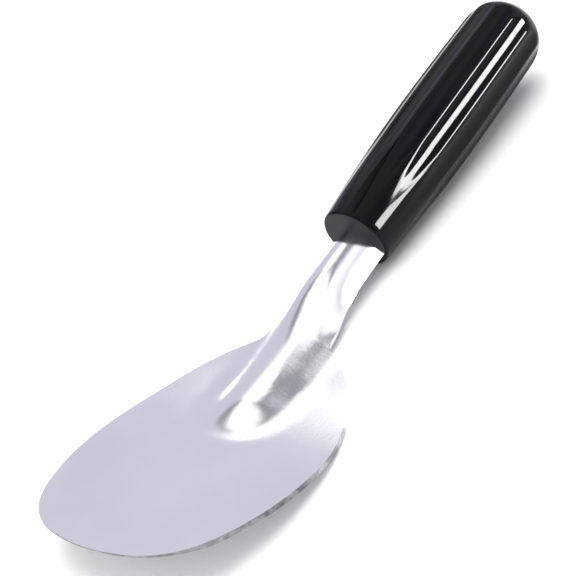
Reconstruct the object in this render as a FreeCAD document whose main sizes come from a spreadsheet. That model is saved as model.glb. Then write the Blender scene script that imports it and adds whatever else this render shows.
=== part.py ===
import FreeCAD, Part
import math
import os
import Sketcher
from FreeCAD import Placement, Rotation, Vector
from Part import Geom2d

# An ice cream spade in two pieces: a stamped steel blade with its neck and tang, and a moulded grip.
# Working frame: the widest line of the blade is at x = 0, the tip is at -x, the flat top face is z = 0.

SIZES = {
    # flat blank of the steel, before it is pressed
    "sheet_thickness": 1.7,
    "blade_width": 88.0,
    "tip_reach": 46.0,
    "front_radius": 74.0,
    "shoulder_radius": 30.0,
    "side_radius": 63.5,
    "side_reach": 18.7,
    "corner_radius": 4.0,
    "root_reach": 53.2,
    "neck_width": 28.0,
    "tang_width": 18.0,
    "tang_length": 64.0,
    # upward sweep from the flat of the blade into the neck
    "sweep_start": 7.4,
    "sweep_radius": 111.0,
    "sweep_angle": 17.0,
    "neck_length": 49.6,
    # ridge pressed up out of the blade, with a blunt round nose
    "nose_reach": 5.5,
    "nose_length": 20.0,
    "foot_reach": 21.0,
    "ridge_slope": 24.0,
    # channel that the neck is rolled into
    "channel_start": 47.0,
    "channel_length": 38.0,
    "channel_slope": 84.0,
    "channel_lift": 0.9,
    # ground front edge
    "ground_width": 5.0,
    "ground_land": 0.6,
    # moulded grip
    "grip_length": 107.0,
    "grip_axis_height": 6.05,
    "rim_radius": 11.7,
    "rim_edge": 0.9,
    "belly_radius": 14.2,
    "belly_reach": 57.5,
    "butt_radius": 13.8,
    "dome_height": 13.0,
    "dome_squareness": 2.2,
    # straight round-bottomed flutes, which run out where the barrel is slimmer than their floor
    "flute_count": 12,
    "flute_radius": 5.2,
    "flute_floor": 12.5,
    "flute_softness": 0.4,
    "slot_clearance": 0.1,
    "slot_end_gap": 1.0,
}

doc = FreeCAD.newDocument("ice_cream_spade")
sheet = doc.addObject("Spreadsheet::Sheet", "sizes")
for row, (alias, number) in enumerate(SIZES.items(), start=1):
    sheet.set(f"A{row}", alias)
    sheet.set(f"B{row}", str(number))
    sheet.setAlias(f"B{row}", alias)
doc.recompute()


def size(alias):
    """A driving dimension, read back from the sheet."""
    return float(sheet.get(alias))


def bind(item, prop, formula):
    """Ties a property or a sketch constraint to the sheet; words in the formula are aliases."""
    words = "".join(c if c.isalnum() or c == "_" else " " for c in formula).split()
    for word in sorted(set(words) & set(SIZES), key=len, reverse=True):
        formula = formula.replace(word, f"<<sizes>>.{word}")
    item.setExpression(prop, formula)


def add(kind, name, place=None, **bound):
    """A document object; each keyword names a property and the formula that drives it."""
    item = doc.addObject(kind, name)
    for prop, formula in bound.items():
        bind(item, prop, formula)
    if place:
        item.Placement = place
    return item


def combine(kind, name, base, tool):
    """A Part boolean of two document objects."""
    item = doc.addObject(f"Part::{kind}", name)
    item.Base = base
    item.Tool = tool
    return item


def solid_feature(name, shape):
    """A document object that holds a shape worked out here."""
    item = doc.addObject("Part::Feature", name)
    item.Shape = shape
    return item


BEND = math.radians(size("sweep_angle"))
SWEEP_END_X = size("sweep_start") + size("sweep_radius") * math.sin(BEND)
SWEEP_END_Z = size("sweep_radius") * (1 - math.cos(BEND))
# run along the sheet, from the widest line, to the grip's open end and to the end of the tang
RIM_RUN = size("sweep_start") + size("sweep_radius") * BEND + size("neck_length")
TANG_RUN = RIM_RUN + size("tang_length")
# frame of the grip: z along the grip, x upwards, origin in the middle of its open end
GRIP = (
    Placement(Vector(SWEEP_END_X, 0, SWEEP_END_Z), Rotation(Vector(0, 1, 0), -size("sweep_angle")))
    * Placement(
        Vector(size("neck_length"), 0, size("grip_axis_height")),
        Rotation(Vector(0, 0, 1), Vector(0, -1, 0), Vector(1, 0, 0), "XYZ"),
    )
)


# Blank of the steel, drawn flat: the right half, from the tip to the end of the tang


def meeting(first, first_reach, second, second_reach, side):
    """Where two circles cross, to the left (+1) or the right (-1) of the line between their centres."""
    gap = second - first
    along = (first_reach**2 - second_reach**2 + gap.Length**2) / (2 * gap.Length)
    off = math.sqrt(first_reach**2 - along**2)
    way = gap.normalize()
    return first + way * along + Vector(-way.y, way.x, 0) * off * side


def arc(centre, radius, start_towards, end_towards):
    """An arc, anticlockwise, between the directions of two points seen from its centre."""
    angles = []
    for target in (start_towards, end_towards):
        angles.append(math.atan2(target.y - centre.y, target.x - centre.x))
    if angles[1] < angles[0]:
        angles[1] += 2 * math.pi
    return Part.ArcOfCircle(Part.Circle(centre, Vector(0, 0, 1), radius), *angles)


# how the sketcher counts the points of a curve, and its two axes
EDGE, START, END, CENTRE = range(4)
X_AXIS, Y_AXIS = range(-1, -3, -1)
ORIGIN = (X_AXIS, START)


def sketch_of(name, geometry, joints, level, upright, rules):
    """A sketch with its joined ends, its level and upright lines, and its bound sizes."""
    sketch = doc.addObject("Sketcher::SketchObject", name)
    sketch.addGeometry(geometry)
    for kind, *ends in joints:
        sketch.addConstraint(Sketcher.Constraint(kind, *ends))
    for line in level:
        sketch.addConstraint(Sketcher.Constraint("Horizontal", line))
    for line in upright:
        sketch.addConstraint(Sketcher.Constraint("Vertical", line))
    for label, formula, kind, *where in rules:
        index = sketch.addConstraint(Sketcher.Constraint(kind, *where))
        sketch.renameConstraint(index, label)
        bind(sketch, "Constraints." + label, formula)
    return sketch


def draw_front():
    """The flat front of the blade ahead of its widest line: front, shoulder and side arcs, closed."""
    tip = Vector(-size("tip_reach"), 0, 0)
    front = Vector(size("front_radius") - size("tip_reach"), 0, 0)
    widest = Vector(0, size("blade_width") / 2, 0)
    side = widest - Vector(0, size("side_radius"), 0)
    front_gap = size("front_radius") - size("shoulder_radius")
    side_gap = size("side_radius") - size("shoulder_radius")
    shoulder = meeting(front, front_gap, side, side_gap, -1)
    geometry = [
        arc(front, size("front_radius"), front + (shoulder - front), tip),
        arc(shoulder, size("shoulder_radius"), shoulder + (shoulder - side), shoulder + (shoulder - front)),
        arc(side, size("side_radius"), widest, shoulder),
        Part.LineSegment(widest, Vector()),
        Part.LineSegment(Vector(), tip),
    ]
    joints = [
        ("Tangent", 0, START, 1, END),
        ("Tangent", 1, START, 2, END),
        ("Coincident", 2, START, 3, START),
        ("Coincident", 3, END, 4, START),
        ("Coincident", 4, END, 0, END),
        ("Coincident", 3, END, *ORIGIN),
        ("PointOnObject", 0, CENTRE, X_AXIS),
        ("PointOnObject", 2, CENTRE, Y_AXIS),
    ]
    rules = [
        ("front_r", "front_radius", "Radius", 0, size("front_radius")),
        ("shoulder_r", "shoulder_radius", "Radius", 1, size("shoulder_radius")),
        ("side_r", "side_radius", "Radius", 2, size("side_radius")),
        ("half_width", "blade_width / 2", "DistanceY", *ORIGIN, 3, START, widest.y),
        ("tip_x", "tip_reach", "DistanceX", 4, END, *ORIGIN, size("tip_reach")),
    ]
    return sketch_of("blade_front", geometry, joints, [4], [3], rules)


def draw_rear():
    """The edge of the blank behind the widest line: side, rear and corner arcs, neck, step and tang."""
    widest = Vector(0, size("blade_width") / 2, 0)
    side = widest - Vector(0, size("side_radius"), 0)
    neck = size("neck_width") / 2
    tang = size("tang_width") / 2
    corner = Vector(size("root_reach"), neck + size("corner_radius"), 0)
    # the rear arc leaves the side arc at the join, and runs on into the corner arc
    rise = math.sqrt(size("side_radius") ** 2 - size("side_reach") ** 2)
    outwards = Vector(size("side_reach"), rise, 0) / size("side_radius")
    join = side + outwards * size("side_radius")
    gap = join - corner
    reach = size("corner_radius") + outwards.dot(gap)
    rear_radius = (gap.dot(gap) - size("corner_radius") ** 2) / (2 * reach)
    rear = join - outwards * rear_radius
    stops = [
        Vector(size("root_reach"), neck, 0),
        Vector(RIM_RUN, neck, 0),
        Vector(RIM_RUN, tang, 0),
        Vector(TANG_RUN, tang, 0),
        Vector(TANG_RUN, 0, 0),
    ]
    geometry = [
        arc(side, size("side_radius"), join, widest),
        arc(rear, rear_radius, corner, join),
        arc(corner, size("corner_radius"), rear, stops[0]),
    ]
    geometry += [Part.LineSegment(a, b) for a, b in zip(stops, stops[1:])]
    joints = [
        ("Tangent", 0, START, 1, END),
        ("Tangent", 1, START, 2, START),
        ("Tangent", 2, END, 3, START),
        ("Coincident", 3, END, 4, START),
        ("Coincident", 4, END, 5, START),
        ("Coincident", 5, END, 6, START),
        ("PointOnObject", 0, END, Y_AXIS),
        ("PointOnObject", 0, CENTRE, Y_AXIS),
        ("PointOnObject", 6, END, X_AXIS),
    ]
    sweep = "sweep_start + sweep_radius * sweep_angle * pi / 180"
    rules = [
        ("side_r", "side_radius", "Radius", 0, size("side_radius")),
        ("side_x", "side_reach", "DistanceX", *ORIGIN, 0, START, join.x),
        ("corner_r", "corner_radius", "Radius", 2, size("corner_radius")),
        ("half_width", "blade_width / 2", "DistanceY", *ORIGIN, 0, END, widest.y),
        ("root_x", "root_reach", "DistanceX", *ORIGIN, 2, CENTRE, size("root_reach")),
        ("neck_y", "neck_width / 2", "DistanceY", *ORIGIN, 3, START, neck),
        ("rim_x", f"{sweep} + neck_length", "DistanceX", *ORIGIN, 3, END, RIM_RUN),
        ("tang_y", "tang_width / 2", "DistanceY", *ORIGIN, 5, START, tang),
        ("tang_x", "tang_length", "DistanceX", 5, START, 5, END, size("tang_length")),
    ]
    return sketch_of("blade_rear", geometry, joints, [3, 5], [4, 6], rules)


# Form of the pressed steel

FLAT_ENOUGH = 1e-5


def ease(share):
    """0 below 0, 1 above 1, and a smooth step between."""
    share = min(max(share, 0.0), 1.0)
    return share * share * share * (share * (6 * share - 15) + 10)


def section_point(run, across):
    """Sideways place and height of the top face over the plain sweep: a crest arc, then a foot arc."""
    nose = (run - size("nose_reach")) / size("nose_length")
    rolled = ease((run - size("channel_start")) / size("channel_length"))
    slope = size("ridge_slope") * ease(nose)
    slope += (size("channel_slope") - size("ridge_slope")) * rolled
    slope = math.radians(slope)
    if slope < FLAT_ENOUGH:
        return across, 0.0
    nose = min(max(nose, 0.02), 1.0)
    # the foot of the ridge is round at the nose, and lies beyond the edge of the neck
    foot = size("foot_reach") * math.sqrt(nose * (2 - nose))
    foot += (size("neck_width") - foot) * rolled
    radius = foot / 2 / slope
    distance = abs(across)
    crest = min(distance, foot / 2) / radius
    side = radius * math.sin(crest)
    drop = radius * (1 - math.cos(crest))
    if distance > foot / 2:
        left = max(foot - distance, 0.0) / radius
        side += radius * (math.sin(slope) - math.sin(left)) + max(distance - foot, 0.0)
        drop += radius * (math.cos(left) - math.cos(slope))
    arch = radius * (1 - math.cos(slope))
    height = 2 * arch * (1 - rolled) + (size("channel_lift") + arch) * rolled
    return math.copysign(side, across), height - drop


def sheet_point(run, across):
    """A point of the top face: run along the blank from its widest line, and the distance to one side."""
    side, height = section_point(run, across)
    past = run - size("sweep_start")
    bend = min(max(past / size("sweep_radius"), 0.0), BEND)
    straight = max(0.0, past - size("sweep_radius") * BEND)
    flat = min(run, size("sweep_start"))
    rise = size("sweep_radius") * (1 - math.cos(bend))
    foot = Vector(flat + size("sweep_radius") * math.sin(bend), 0, rise)
    along = Vector(math.cos(bend), 0, math.sin(bend))
    square = Vector(-math.sin(bend), 0, math.cos(bend))
    return foot + along * straight + square * height + Vector(0, side, 0)


def sheet_normal(run, across):
    """The direction square to the top face at that point."""
    step = size("sheet_thickness") / 40
    lengthways = sheet_point(run + step, across) - sheet_point(run - step, across)
    sideways = sheet_point(run, across + step) - sheet_point(run, across - step)
    return lengthways.cross(sideways).normalize()


def spread(start, end, pitch):
    """Evenly spaced values from start to end, no further apart than the pitch."""
    count = max(1, math.ceil((end - start) / pitch))
    return [start + (end - start) * i / count for i in range(count + 1)]


def pole_places(knots):
    """Where the poles of a clamped cubic spline stand, so that its parameter is a true distance."""
    padded = [knots[0]] * 3 + knots + [knots[-1]] * 3
    return [sum(padded[i + 1 : i + 4]) / 3 for i in range(len(padded) - 4)]


def formed_skin(depth, end_run):
    """The formed sheet at a depth under its top face; its parameters are distances on the flat blank."""
    # poles stand close together across the ridge and in the run where the form changes, and wider elsewhere
    crown = size("foot_reach") * 1.15
    sides = spread(crown, size("blade_width") * 0.52, size("foot_reach") / 2)[1:]
    columns = [-side for side in reversed(sides)] + spread(-crown, crown, crown / 10) + sides
    formed = size("channel_start") + size("channel_length")
    runs = spread(0.0, size("channel_start"), size("nose_length") / 6)
    runs += spread(size("channel_start"), formed, size("channel_length") / 8)[1:]
    runs += spread(formed, end_run, size("channel_length") / 2)[1:]
    rows = []
    for run in pole_places(runs):
        line = [(sheet_point(run, across), sheet_normal(run, across)) for across in pole_places(columns)]
        rows.append([point - normal * depth for point, normal in line])
    surface = Part.BSplineSurface()
    ends = [[4] + [1] * (len(knots) - 2) + [4] for knots in (runs, columns)]
    surface.buildFromPolesMultsKnots(rows, *ends, runs, columns, False, False, 3, 3)
    return surface


def flat_line(start, end):
    """A straight line on the flat blank."""
    return Geom2d.Line2dSegment(FreeCAD.Base.Vector2d(*start), FreeCAD.Base.Vector2d(*end))


def flat_edge(curve, mirrored):
    """A sketched arc or line as a curve on the flat blank, on its own side or mirrored."""
    flip = -1 if mirrored else 1
    if isinstance(curve, Part.ArcOfCircle):
        centre = FreeCAD.Base.Vector2d(curve.Center.x, curve.Center.y * flip)
        ends = sorted((curve.FirstParameter * flip, curve.LastParameter * flip))
        return Geom2d.ArcOfCircle2d(Geom2d.Circle2d(centre, curve.Radius), *ends)
    start, end = curve.StartPoint, curve.EndPoint
    return flat_line((start.x, start.y * flip), (end.x, end.y * flip))


def closed_solid(faces):
    """Sews faces into one solid, with its faces outwards."""
    shell = Part.makeShell(faces)
    shell.sewShape()
    solid = Part.makeSolid(shell)
    if solid.Volume < 0:
        solid.reverse()
    return solid


def formed_plate(outline, above, below, end_run):
    """The outline carried from the flat blank onto the formed sheet, between two skins."""
    skins = [formed_skin(depth, end_run) for depth in (-above, below)]
    edges = [[curve.toShape(skin) for curve in outline] for skin in skins]
    faces = [Part.Face(skin, Part.Wire(ring)) for skin, ring in zip(skins, edges)]
    faces += [Part.makeRuledSurface(high, low) for high, low in zip(*edges)]
    return closed_solid(faces)


def make_rear():
    """The formed rear of the blade, the neck and the tang."""
    curves = draw_rear().Geometry
    half = size("blade_width") / 2
    outline = [flat_edge(curve, False) for curve in curves]
    outline += [flat_edge(curve, True) for curve in reversed(curves)]
    outline.append(flat_line((0, -half), (0, half)))
    plate = formed_plate(outline, 0.0, size("sheet_thickness"), TANG_RUN + size("slot_end_gap"))
    return solid_feature("formed_rear", plate)


def make_front():
    """The flat front of the blade, its two halves mirrored over the long axis."""
    half = add("Part::Extrusion", "front_half", LengthRev="sheet_thickness")
    half.Base = draw_front()
    half.DirMode = "Custom"
    half.Dir = Vector(0, 0, 1)
    half.LengthFwd = 0.0
    half.Solid = True
    other = add("Part::Mirroring", "front_other_half")
    other.Source = half
    other.Normal = Vector(0, 1, 0)
    return [half, other]


def grinding_ring():
    """What grinding takes off under the front edge: a wide ring outside a flat cone."""
    # the tools start one sheet thickness under the sheet
    slope = "ground_width / (sheet_thickness - ground_land)"
    middle = size("front_radius") - size("tip_reach")
    foot = Placement(Vector(middle, 0, -2 * size("sheet_thickness")), Rotation())
    height = "2 * sheet_thickness - ground_land"
    disc = add("Part::Cylinder", "grinding_disc", foot, Radius="front_radius + blade_width", Height=height)
    cone = add("Part::Cone", "ground_cone", foot, Radius2="front_radius", Height=height)
    bind(cone, "Radius1", f"front_radius - ground_width - sheet_thickness * {slope}")
    return combine("Cut", "grinding_ring", disc, cone)


def make_blade():
    stamping = add("Part::MultiFuse", "stamping")
    stamping.Shapes = make_front() + [make_rear()]
    stamping.Refine = True
    return combine("Cut", "blade", stamping, grinding_ring())


# Moulded grip, in its own frame: z runs from the open end to the butt


def barrel_radius(reach):
    """Outer radius along the barrel, before the flutes: slimmer at the open end, fullest at the belly."""
    belly = size("belly_radius")
    if reach < size("belly_reach"):
        return belly - (belly - size("rim_radius")) * (1 - reach / size("belly_reach")) ** 2
    shoulder = size("grip_length") - size("dome_height")
    share = (reach - size("belly_reach")) / (shoulder - size("belly_reach"))
    return belly - (belly - size("butt_radius")) * share**2


def grip_rings():
    """(distance from the open end, radius before the flutes) for each ring of poles."""
    edge = size("rim_edge")
    length = size("grip_length")
    dome = size("dome_height")
    rings = [(0.0, size("rim_radius") - edge), (0.0, size("rim_radius") - 0.3 * edge)]
    rings += [(0.3 * edge, barrel_radius(0)), (edge, barrel_radius(edge))]
    for reach in spread(2 * edge, length - dome, length / 10):
        rings.append((reach, barrel_radius(reach)))
    bends = 5
    power = 2 / size("dome_squareness")
    for bend in range(1, bends):
        angle = math.pi / 2 * bend / bends
        reach = length - dome + dome * math.sin(angle) ** power
        rings.append((reach, size("butt_radius") * math.cos(angle) ** power))
    rings.append((length, size("butt_radius") * 0.16))
    rings.append((length, 0.0))
    return rings


def fluted_radius(radius, turn):
    """The radius that a flute leaves at an angle from its middle, softly blended into the barrel."""
    middle = size("flute_floor") + size("flute_radius")
    reach = size("flute_radius") ** 2 - (middle * math.sin(turn)) ** 2
    if reach <= 0:
        return radius
    floor = middle * math.cos(turn) - math.sqrt(reach)
    blend = max(size("flute_softness") - abs(radius - floor), 0.0)
    return min(radius, floor) - blend**2 / (4 * size("flute_softness"))


def grip_skin():
    """The grip's outside: a bellied barrel with its flutes, one of them on top, and a domed butt."""
    # an odd number of poles to a flute, half a step round, puts one on each ridge
    per_flute = 5
    total = int(size("flute_count")) * per_flute
    pitch = 2 * math.pi / total
    turns = [((step + 0.5 + per_flute / 2) % per_flute - per_flute / 2) * pitch for step in range(total)]
    rows = []
    for reach, radius in grip_rings():
        outs = [fluted_radius(radius, turn) if radius else 0.0 for turn in turns]
        row = []
        for step, out in enumerate(outs):
            # a cubic ring cuts inside its poles, by a sixth of how far each one stands out from the next two
            out += (2 * out - outs[step - 1] - outs[(step + 1) % total]) / 6
            angle = (step + 0.5) * pitch
            row.append(Vector(out * math.cos(angle), out * math.sin(angle), reach))
        rows.append(row)
    surface = Part.BSplineSurface()
    ends = [4] + [1] * (len(rows) - 4) + [4]
    steps = [float(i) for i in range(len(rows) - 2)]
    around = [float(i) for i in range(total + 1)]
    surface.buildFromPolesMultsKnots(rows, ends, [1] * (total + 1), steps, around, False, True, 3, 3)
    mouth = Part.Face(Part.Wire(surface.uIso(0.0).toShape()))
    return closed_solid([surface.toShape(), mouth])


def tang_slot():
    """The slot in the grip: the tang's own form with a clearance all round, open at the grip's mouth."""
    clearance = size("slot_clearance")
    half = size("tang_width") / 2 + clearance
    start = RIM_RUN - size("slot_end_gap")
    end = TANG_RUN + size("slot_end_gap")
    corners = [(start, -half), (start, half), (end, half), (end, -half)]
    outline = [flat_line(a, b) for a, b in zip(corners, corners[1:] + corners[:1])]
    plate = formed_plate(outline, clearance, size("sheet_thickness") + clearance, end + size("slot_end_gap"))
    return solid_feature("tang_slot", plate)


def make_handle():
    skin = solid_feature("grip_skin", grip_skin())
    skin.Placement = GRIP
    return combine("Cut", "handle", skin, tang_slot())


def rest_tilt():
    """How far the spade tips back to lie on its heel and on the lowest point of the grip's open end."""
    heel_radius = size("sweep_radius") + size("sheet_thickness")
    heel = Vector(size("sweep_start"), 0, size("sweep_radius"))
    rim = GRIP.multVec(Vector(-barrel_radius(size("rim_edge")), 0, size("rim_edge")))
    gap = rim - heel
    return math.degrees(math.atan2(gap.z, gap.x) + math.asin(heel_radius / gap.Length))


blade = make_blade()
handle = make_handle()
pieces = [blade, handle]
doc.recompute()

# Lay the spade down as it would come to rest, with the middle of its box over the origin
lying = Placement(Vector(), Rotation(Vector(0, 1, 0), rest_tilt()))
box = FreeCAD.BoundBox()
for piece in pieces:
    turned = piece.Shape.copy()
    turned.Placement = lying
    for point in turned.tessellate(0.05)[0]:
        box.add(point)
lying.Base = Vector(-box.Center.x, -box.Center.y, -box.ZMin)
for piece in pieces:
    piece.Placement = lying
doc.recompute()

for item in doc.Objects:
    if {"Invalid", "Error"} & set(item.State):
        raise RuntimeError(f"{item.Name} did not rebuild: {item.State}")
for piece in pieces:
    if piece.Shape.isNull() or not piece.Shape.isValid() or len(piece.Shape.Solids) != 1:
        raise RuntimeError(f"{piece.Label} is not one sound solid")

os.makedirs("parts", exist_ok=True)
for piece in pieces:
    piece.Shape.exportStep(f"parts/{piece.Label}.step")
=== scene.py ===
import math

import bmesh
import bpy
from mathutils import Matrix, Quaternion, Vector


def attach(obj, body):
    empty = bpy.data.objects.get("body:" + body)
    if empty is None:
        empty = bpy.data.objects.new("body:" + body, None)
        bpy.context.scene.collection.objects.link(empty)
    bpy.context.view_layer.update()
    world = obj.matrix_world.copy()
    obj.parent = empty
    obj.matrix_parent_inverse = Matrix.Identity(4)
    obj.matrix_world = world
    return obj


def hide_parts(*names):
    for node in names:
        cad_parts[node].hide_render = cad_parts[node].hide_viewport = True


# An ice cream spade lying on a pale floor under soft studio light.
# Row frame, in metres: the blade is at -X, the grip runs towards +X, and the floor is z = 0.
# Azimuth 0 is +Y and 90 is +X, and elevation 90 is straight up, both in degrees.

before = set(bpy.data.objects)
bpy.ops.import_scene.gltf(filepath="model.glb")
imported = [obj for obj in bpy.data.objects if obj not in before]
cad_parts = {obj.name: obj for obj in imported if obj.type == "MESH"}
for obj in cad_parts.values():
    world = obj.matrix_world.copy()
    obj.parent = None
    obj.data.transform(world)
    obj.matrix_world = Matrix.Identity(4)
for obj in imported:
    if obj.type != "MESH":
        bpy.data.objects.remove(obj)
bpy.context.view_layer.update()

# at rest the tip of the blade is raised by the tilt, and the neck sweeps up from the flat of the blade
BLADE_TILT = math.radians(12.785)
SWEEP = math.radians(17.0)
# square to the flat of the blade, and along the grip towards its butt
BLADE_UP = (math.sin(BLADE_TILT), 0.0, math.cos(BLADE_TILT))
GRIP_WAY = (math.cos(SWEEP - BLADE_TILT), 0.0, math.sin(SWEEP - BLADE_TILT))
# where along X the sheared edge of the blade fades out into the neck
EDGE_FADE = (-0.055, -0.045)

# grip: a bellied barrel with straight flutes, one of them on top, and a domed butt; lengths in metres
MOUTH = Vector((0.013592, 0.0, 0.011664))
GRIP_LENGTH = 0.107
RIM_RADIUS = 0.0117
RIM_EDGE = 0.0009
BELLY_RADIUS = 0.0142
BELLY_REACH = 0.0575
BUTT_RADIUS = 0.0138
DOME_HEIGHT = 0.013
DOME_POWER = 0.909
FLUTE_COUNT = 12
FLUTE_RADIUS = 0.009
FLUTE_DEPTH = 0.00092
FLUTE_START = 0.003
FLUTE_FULL = 0.036
FLUTE_SOFTNESS = 0.0004
# fineness of the grip's mesh
POINTS_PER_FLUTE = 24
RIM_STEPS = 6
BARREL_STEPS = 64
DOME_STEPS = 24

CAMERA_PLACE = Vector((-0.26502, -0.35742, 0.29727))
CAMERA_AIM = Vector((-0.02534, -0.01092, 0.02802))
CAMERA_ROLL = math.radians(-29.463)
CAMERA_LENS = 106.25
CAMERA_SENSOR = 36.0
FLOOR_REACH = 3.0

# the studio round the spade, as levels of light
WALL = (0.67, 0.655, 0.76)
GAP = (0.3, 0.3, 0.33)
WHITE = (1.2, 1.2, 1.2)
LIT = (1.45, 1.45, 1.45)
BEHIND_FOOT = (0.8, 0.8, 0.83)
BEHIND_MIDDLE = (0.64, 0.64, 0.68)
# the wall, the gap and the ceiling are bands of the far side, which climb by this share of the azimuth
FAR_AZIMUTH = 25
BAND_LEAN = 0.45
BANDS_LOW, BANDS_HIGH = 20.0, 50.0
# lit patches of the far side: azimuth, elevation and reach, and the share of the reach that is fully lit
LIT_PATCHES = ((46, 43, 17), (19, 54, 14))
PATCH_CORE = 0.35


class Nodes:
    """A node tree with short ways to add and join its nodes."""

    def __init__(self, tree):
        self.tree = tree

    def add(self, kind, values=None, **settings):
        """A node; settings are its own properties, and values are set on or linked to its inputs."""
        node = self.tree.nodes.new(kind)
        for name, setting in settings.items():
            setattr(node, name, setting)
        for name, value in (values or {}).items():
            if isinstance(value, bpy.types.NodeSocket):
                self.tree.links.new(value, node.inputs[name])
            else:
                node.inputs[name].default_value = value
        return node

    def maths(self, operation, a, b=0.0):
        return self.add("ShaderNodeMath", {0: a, 1: b}, operation=operation).outputs[0]

    def vector(self, operation, a, b=(0.0, 0.0, 0.0)):
        return self.add("ShaderNodeVectorMath", {0: a, 1: b}, operation=operation).outputs

    def along(self, vector, way):
        """How far a vector reaches along a fixed direction."""
        return self.vector("DOT_PRODUCT", vector, way)["Value"]

    def ramp(self, factor, *stops):
        """A colour ramp; each stop is a place and a colour."""
        node = self.add("ShaderNodeValToRGB", {"Fac": factor})
        elements = node.color_ramp.elements
        while len(elements) < len(stops):
            elements.new(0.5)
        for element, (place, colour) in zip(elements, stops):
            element.position = place
            element.color = (*colour, 1)
        return node.outputs["Color"]

    def fit(self, value, low, high, new_low, new_high):
        """Maps a range of values onto another along a soft S curve, held at its ends."""
        node = self.add(
            "ShaderNodeMapRange",
            {"Value": value, "From Min": low, "From Max": high, "To Min": new_low, "To Max": new_high},
            interpolation_type="SMOOTHSTEP",
        )
        return node.outputs["Result"]

    def blend(self, share, a, b):
        """Goes from one colour to another by a share."""
        return self.add("ShaderNodeMix", {0: share, 6: a, 7: b}, data_type="RGBA").outputs[2]

    def noise(self, place, scale, detail=3.0, rough=0.55):
        values = {"Vector": place, "Scale": scale, "Detail": detail, "Roughness": rough}
        return self.add("ShaderNodeTexNoise", values).outputs["Fac"]


def new_object(name, data):
    """Puts a mesh, a lamp or a camera into the scene."""
    thing = bpy.data.objects.new(name, data)
    bpy.context.collection.objects.link(thing)
    return thing


def direction(azimuth, elevation):
    turn, rise = math.radians(azimuth), math.radians(elevation)
    return Vector((math.sin(turn) * math.cos(rise), math.cos(turn) * math.cos(rise), math.sin(rise)))


def new_material(name):
    material = bpy.data.materials.new(name)
    material.use_nodes = True
    material.node_tree.nodes.clear()
    return material, Nodes(material.node_tree)


def finish_material(nodes, shader):
    output = nodes.add("ShaderNodeOutputMaterial")
    nodes.tree.links.new(shader.outputs[0], output.inputs["Surface"])


def dress(node, material):
    """Puts the material on every slot of a CAD node."""
    for slot in node.material_slots:
        slot.material = material


def handled_surface():
    """Group for any surface that hands and a sink have used: fine grain, cloudy patches and faint scuffs."""
    group = bpy.data.node_groups.new("handled_surface", "ShaderNodeTree")
    group.interface.new_socket("Place", in_out="INPUT", socket_type="NodeSocketVector")
    for name in ("Grain Scale", "Patch Scale", "Smooth", "Worn"):
        group.interface.new_socket(name, in_out="INPUT", socket_type="NodeSocketFloat")
    for name in ("Roughness", "Patches", "Height"):
        group.interface.new_socket(name, in_out="OUTPUT", socket_type="NodeSocketFloat")
    nodes = Nodes(group)
    given = nodes.add("NodeGroupInput").outputs
    grain = nodes.noise(given["Place"], given["Grain Scale"], 2.0, 0.5)
    patches = nodes.noise(given["Place"], given["Patch Scale"])
    # scuffs are long thin marks, so their noise is drawn out along the spade
    drawn_out = nodes.vector("MULTIPLY", given["Place"], (60.0, 1500.0, 700.0))[0]
    scuffs = nodes.fit(nodes.noise(drawn_out, 1.0, 1.0), 0.66, 0.78, 0.0, 1.0)
    # worn places are rougher: the patches do most of it, and the scuffs add a little
    worn = nodes.maths("ADD", nodes.fit(patches, 0.35, 0.65, 0.0, 0.7), nodes.maths("MULTIPLY", scuffs, 0.3))
    spread = nodes.maths("SUBTRACT", given["Worn"], given["Smooth"])
    rough = nodes.maths("ADD", given["Smooth"], nodes.maths("MULTIPLY", worn, spread))
    height = nodes.maths("SUBTRACT", grain, nodes.maths("MULTIPLY", scuffs, 0.1))
    nodes.add("NodeGroupOutput", {"Roughness": rough, "Patches": patches, "Height": height})
    return group


def steel_material(surface):
    """Satin stainless sheet with a fine pebbled grain, and a sheared edge that is duller and painted dark as
    painted shade.
    """
    material, nodes = new_material("satin_steel")
    place = nodes.add("ShaderNodeTexCoord").outputs
    used = nodes.add(
        "ShaderNodeGroup",
        {"Place": place["Object"], "Grain Scale": 900.0, "Patch Scale": 30.0, "Smooth": 0.14, "Worn": 0.18},
        node_tree=surface,
    ).outputs
    # the sheared edge of the flat blade faces sideways; the neck, further along +X, only curls that far
    upright = nodes.maths("ABSOLUTE", nodes.along(place["Normal"], BLADE_UP))
    reach = nodes.along(place["Object"], (1.0, 0.0, 0.0))
    on_blade = nodes.fit(reach, *EDGE_FADE, 1.0, 0.0)
    edge = nodes.maths("MULTIPLY", nodes.fit(upright, 0.15, 0.3, 1.0, 0.0), on_blade)
    colour = nodes.ramp(used["Patches"], (0.3, (0.85, 0.85, 0.87)), (0.7, (0.89, 0.89, 0.905)))
    # shearing leaves the edge torn in dull and bright stretches; the edge is also painted far darker than
    # steel, as painted shade on the blade's thickness
    stretches = nodes.noise(place["Object"], 60.0, 5.0, 0.75)
    torn_and_painted_shade = nodes.ramp(stretches, (0.4, (0.1, 0.1, 0.11)), (0.64, (0.42, 0.42, 0.44)))
    # the real duller finish of the edge and its painted shade are blended in together here
    colour = nodes.blend(edge, colour, torn_and_painted_shade)
    rough = nodes.maths("ADD", used["Roughness"], nodes.maths("MULTIPLY", edge, 0.25))
    bump = nodes.add("ShaderNodeBump", {"Strength": 0.5, "Distance": 0.00003, "Height": used["Height"]})
    shader = nodes.add(
        "ShaderNodeBsdfPrincipled",
        {"Base Color": colour, "Metallic": 1.0, "Roughness": rough, "Normal": bump.outputs["Normal"]},
    )
    finish_material(nodes, shader)
    return material


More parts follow.
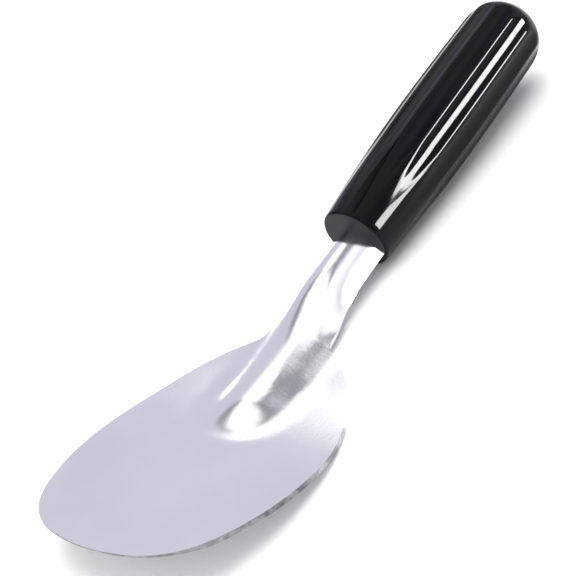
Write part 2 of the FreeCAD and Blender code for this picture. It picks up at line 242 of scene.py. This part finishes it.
def grip_material(surface):
    """Gloss black moulded plastic, left satin on the flat face round the neck."""
    material, nodes = new_material("black_grip")
    place = nodes.add("ShaderNodeTexCoord").outputs
    used = nodes.add(
        "ShaderNodeGroup",
        {"Place": place["Object"], "Grain Scale": 220.0, "Patch Scale": 60.0, "Smooth": 0.05, "Worn": 0.09},
        node_tree=surface,
    ).outputs
    mouth = nodes.fit(nodes.along(place["Normal"], GRIP_WAY), -0.97, -0.85, 1.0, 0.0)
    colour = nodes.ramp(used["Patches"], (0.3, (0.0015, 0.0015, 0.0022)), (0.7, (0.0025, 0.0025, 0.0034)))
    colour = nodes.blend(mouth, colour, (0.016, 0.016, 0.019, 1))
    rough = nodes.maths("ADD", used["Roughness"], nodes.maths("MULTIPLY", mouth, 0.3))
    bump = nodes.add("ShaderNodeBump", {"Strength": 0.12, "Distance": 0.00004, "Height": used["Height"]})
    normal = bump.outputs["Normal"]
    shader = nodes.add(
        "ShaderNodeBsdfPrincipled",
        {"Base Color": colour, "Roughness": rough, "Specular IOR Level": 0.12, "Normal": normal},
    )
    finish_material(nodes, shader)
    return material


def barrel_radius(reach):
    """Radius of the grip, before its flutes, at a distance from its open end."""
    if reach < BELLY_REACH:
        return BELLY_RADIUS - (BELLY_RADIUS - RIM_RADIUS) * (1 - reach / BELLY_REACH) ** 2
    past_belly = (reach - BELLY_REACH) / (GRIP_LENGTH - DOME_HEIGHT - BELLY_REACH)
    return BELLY_RADIUS - (BELLY_RADIUS - BUTT_RADIUS) * past_belly**2


def flute_floor(reach):
    """How far a flute's floor is from the axis: it sinks in from its pointed start, then keeps its depth."""
    sunk = min(max((reach - FLUTE_START) / (FLUTE_FULL - FLUTE_START), 0.0), 1.0)
    barrel = barrel_radius(min(reach, GRIP_LENGTH - DOME_HEIGHT))
    return barrel + FLUTE_SOFTNESS * (1 - sunk) - FLUTE_DEPTH * sunk


def fluted_radius(radius, floor_radius, turn):
    """The radius that a flute leaves at an angle from its middle, softly blended into the barrel."""
    middle = floor_radius + FLUTE_RADIUS
    inside = FLUTE_RADIUS**2 - (middle * math.sin(turn)) ** 2
    if inside <= 0:
        return radius
    floor = middle * math.cos(turn) - math.sqrt(inside)
    overlap = max(FLUTE_SOFTNESS - abs(radius - floor), 0.0)
    return min(radius, floor) - overlap**2 / (4 * FLUTE_SOFTNESS)


def grip_rings():
    """(distance from the open end, radius before the flutes) for each ring of points."""
    rings = []
    for step in range(RIM_STEPS + 1):
        angle = math.pi / 2 * step / RIM_STEPS
        reach = RIM_EDGE * (1 - math.cos(angle))
        rings.append((reach, barrel_radius(reach) - RIM_EDGE * (1 - math.sin(angle))))
    straight = GRIP_LENGTH - DOME_HEIGHT
    for step in range(1, BARREL_STEPS):
        reach = RIM_EDGE + (straight - RIM_EDGE) * step / BARREL_STEPS
        rings.append((reach, barrel_radius(reach)))
    for step in range(DOME_STEPS):
        angle = math.pi / 2 * step / DOME_STEPS
        reach = straight + DOME_HEIGHT * math.sin(angle) ** DOME_POWER
        rings.append((reach, BUTT_RADIUS * math.cos(angle) ** DOME_POWER))
    return rings


def make_grip():
    """The moulded grip over its CAD solid, on a regular mesh so that its gloss runs clean down the flutes."""
    around = FLUTE_COUNT * POINTS_PER_FLUTE
    pitch = 2 * math.pi / FLUTE_COUNT
    way = Vector(GRIP_WAY)
    up = Vector((-way.z, 0.0, way.x))
    side = Vector((0.0, 1.0, 0.0))
    mesh = bmesh.new()
    rows = []
    for reach, radius in grip_rings():
        row = []
        for step in range(around):
            angle = 2 * math.pi * step / around
            turn = (angle + pitch / 2) % pitch - pitch / 2
            out = fluted_radius(radius, flute_floor(reach), turn)
            spot = MOUTH + way * reach + up * (out * math.cos(angle)) + side * (out * math.sin(angle))
            row.append(mesh.verts.new(spot))
        rows.append(row)
    for low, high in zip(rows, rows[1:]):
        for step in range(around):
            mesh.faces.new((low[step - 1], low[step], high[step], high[step - 1]))
    mesh.faces.new(rows[0])
    tip = mesh.verts.new(MOUTH + way * GRIP_LENGTH)
    for step in range(around):
        mesh.faces.new((rows[-1][step - 1], rows[-1][step], tip))
    bmesh.ops.recalc_face_normals(mesh, faces=mesh.faces)
    # every face is smooth but the flat one round the neck
    for face in mesh.faces:
        face.smooth = len(face.verts) < 5
    data = bpy.data.meshes.new("grip")
    mesh.to_mesh(data)
    mesh.free()
    grip = new_object("grip", data)
    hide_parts("handle")
    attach(grip, "root")
    return grip


def make_camera():
    data = bpy.data.cameras.new("camera")
    data.lens = CAMERA_LENS
    data.sensor_width = CAMERA_SENSOR
    camera = new_object("camera", data)
    camera.location = CAMERA_PLACE
    camera.rotation_mode = "QUATERNION"
    level = (CAMERA_AIM - CAMERA_PLACE).to_track_quat("-Z", "Y")
    camera.rotation_quaternion = level @ Quaternion((0, 0, 1), CAMERA_ROLL)
    bpy.context.scene.camera = camera


def softbox(name, azimuth, elevation, distance, width, height, radiance, lights_floor=True, mirrored=True):
    """A flat light that faces the spade."""
    way = direction(azimuth, elevation)
    data = bpy.data.lights.new(name, "AREA")
    data.shape = "RECTANGLE"
    data.size = width
    data.size_y = height
    data.energy = radiance * math.pi * width * height
    lamp = new_object(name, data)
    lamp.location = CAMERA_AIM + way * distance
    lamp.rotation_mode = "QUATERNION"
    lamp.rotation_quaternion = way.to_track_quat("Z", "Y")
    lamp.visible_diffuse = lights_floor
    lamp.visible_glossy = mirrored


def make_floor():
    mesh = bpy.data.meshes.new("floor")
    corners = [(x * FLOOR_REACH, y * FLOOR_REACH, 0) for x, y in ((-1, -1), (1, -1), (1, 1), (-1, 1))]
    mesh.from_pydata(corners, [], [(0, 1, 2, 3)])
    floor = new_object("floor", mesh)
    material, nodes = new_material("floor")
    paper = {"Base Color": (0.9, 0.9, 0.9, 1), "Roughness": 0.8, "Specular IOR Level": 0.0}
    finish_material(nodes, nodes.add("ShaderNodeBsdfPrincipled", paper))
    mesh.materials.append(material)


def make_world():
    """A white studio whose far side is a pale lavender wall under a darker gap and a white ceiling."""
    world = bpy.data.worlds.new("studio")
    bpy.context.scene.world = world
    world.use_nodes = True
    nodes = Nodes(world.node_tree)
    world.node_tree.nodes.clear()
    way = nodes.add("ShaderNodeTexCoord").outputs["Generated"]
    parts = nodes.add("ShaderNodeSeparateXYZ", {"Vector": way}).outputs
    rise = nodes.maths("DEGREES", nodes.maths("ARCSINE", parts["Z"]))
    turn = nodes.maths("DEGREES", nodes.maths("ARCTAN2", parts["X"], parts["Y"]))
    slant = nodes.maths("SUBTRACT", rise, nodes.maths("MULTIPLY", turn, BAND_LEAN))
    bands = {"Value": slant, "From Min": BANDS_LOW, "From Max": BANDS_HIGH}
    climb = nodes.add("ShaderNodeMapRange", bands).outputs["Result"]
    far_side = nodes.ramp(climb, (0.2, WALL), (0.34, GAP), (0.56, GAP), (0.82, WHITE))
    # the side behind greys softly below its ceiling, so that the steel shows against the floor from there too
    height = nodes.fit(rise, 0.0, 90.0, 0.0, 1.0)
    behind = nodes.ramp(height, (0.1, BEHIND_FOOT), (0.42, BEHIND_MIDDLE), (0.8, WHITE))
    level = nodes.vector("NORMALIZE", nodes.vector("MULTIPLY", way, (1, 1, 0))[0])[0]
    faces_far = nodes.along(level, direction(FAR_AZIMUTH, 0))
    near_side = nodes.blend(nodes.fit(faces_far, -0.5, -0.15, 0.0, 1.0), behind, (*WHITE, 1))
    colour = nodes.blend(nodes.fit(faces_far, 0.1, 0.5, 0.0, 1.0), near_side, far_side)
    for azimuth, elevation, reach in LIT_PATCHES:
        rim, core = math.cos(math.radians(reach)), math.cos(math.radians(reach * PATCH_CORE))
        lit = nodes.fit(nodes.along(way, direction(azimuth, elevation)), rim, core, 0.0, 1.0)
        colour = nodes.blend(lit, colour, (*LIT, 1))
    back = nodes.add("ShaderNodeBackground", {"Color": colour, "Strength": 1.0})
    output = nodes.add("ShaderNodeOutputWorld")
    nodes.tree.links.new(back.outputs[0], output.inputs["Surface"])


make_camera()
make_floor()
make_world()
softbox("overhead", 80, 66, 1.8, 2.2, 2.2, 2.8, mirrored=False)
# these two only show mirrored, as the bright lines along the grip
softbox("grip_strip", 155, 9, 1.5, 0.26, 0.5, 65.0, lights_floor=False)
softbox("grip_soft", 142, 19, 1.5, 0.42, 0.4, 80.0, lights_floor=False)
surface = handled_surface()
dress(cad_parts["blade"], steel_material(surface))
make_grip().data.materials.append(grip_material(surface))
bpy.context.scene.view_settings.view_transform = "Standard"
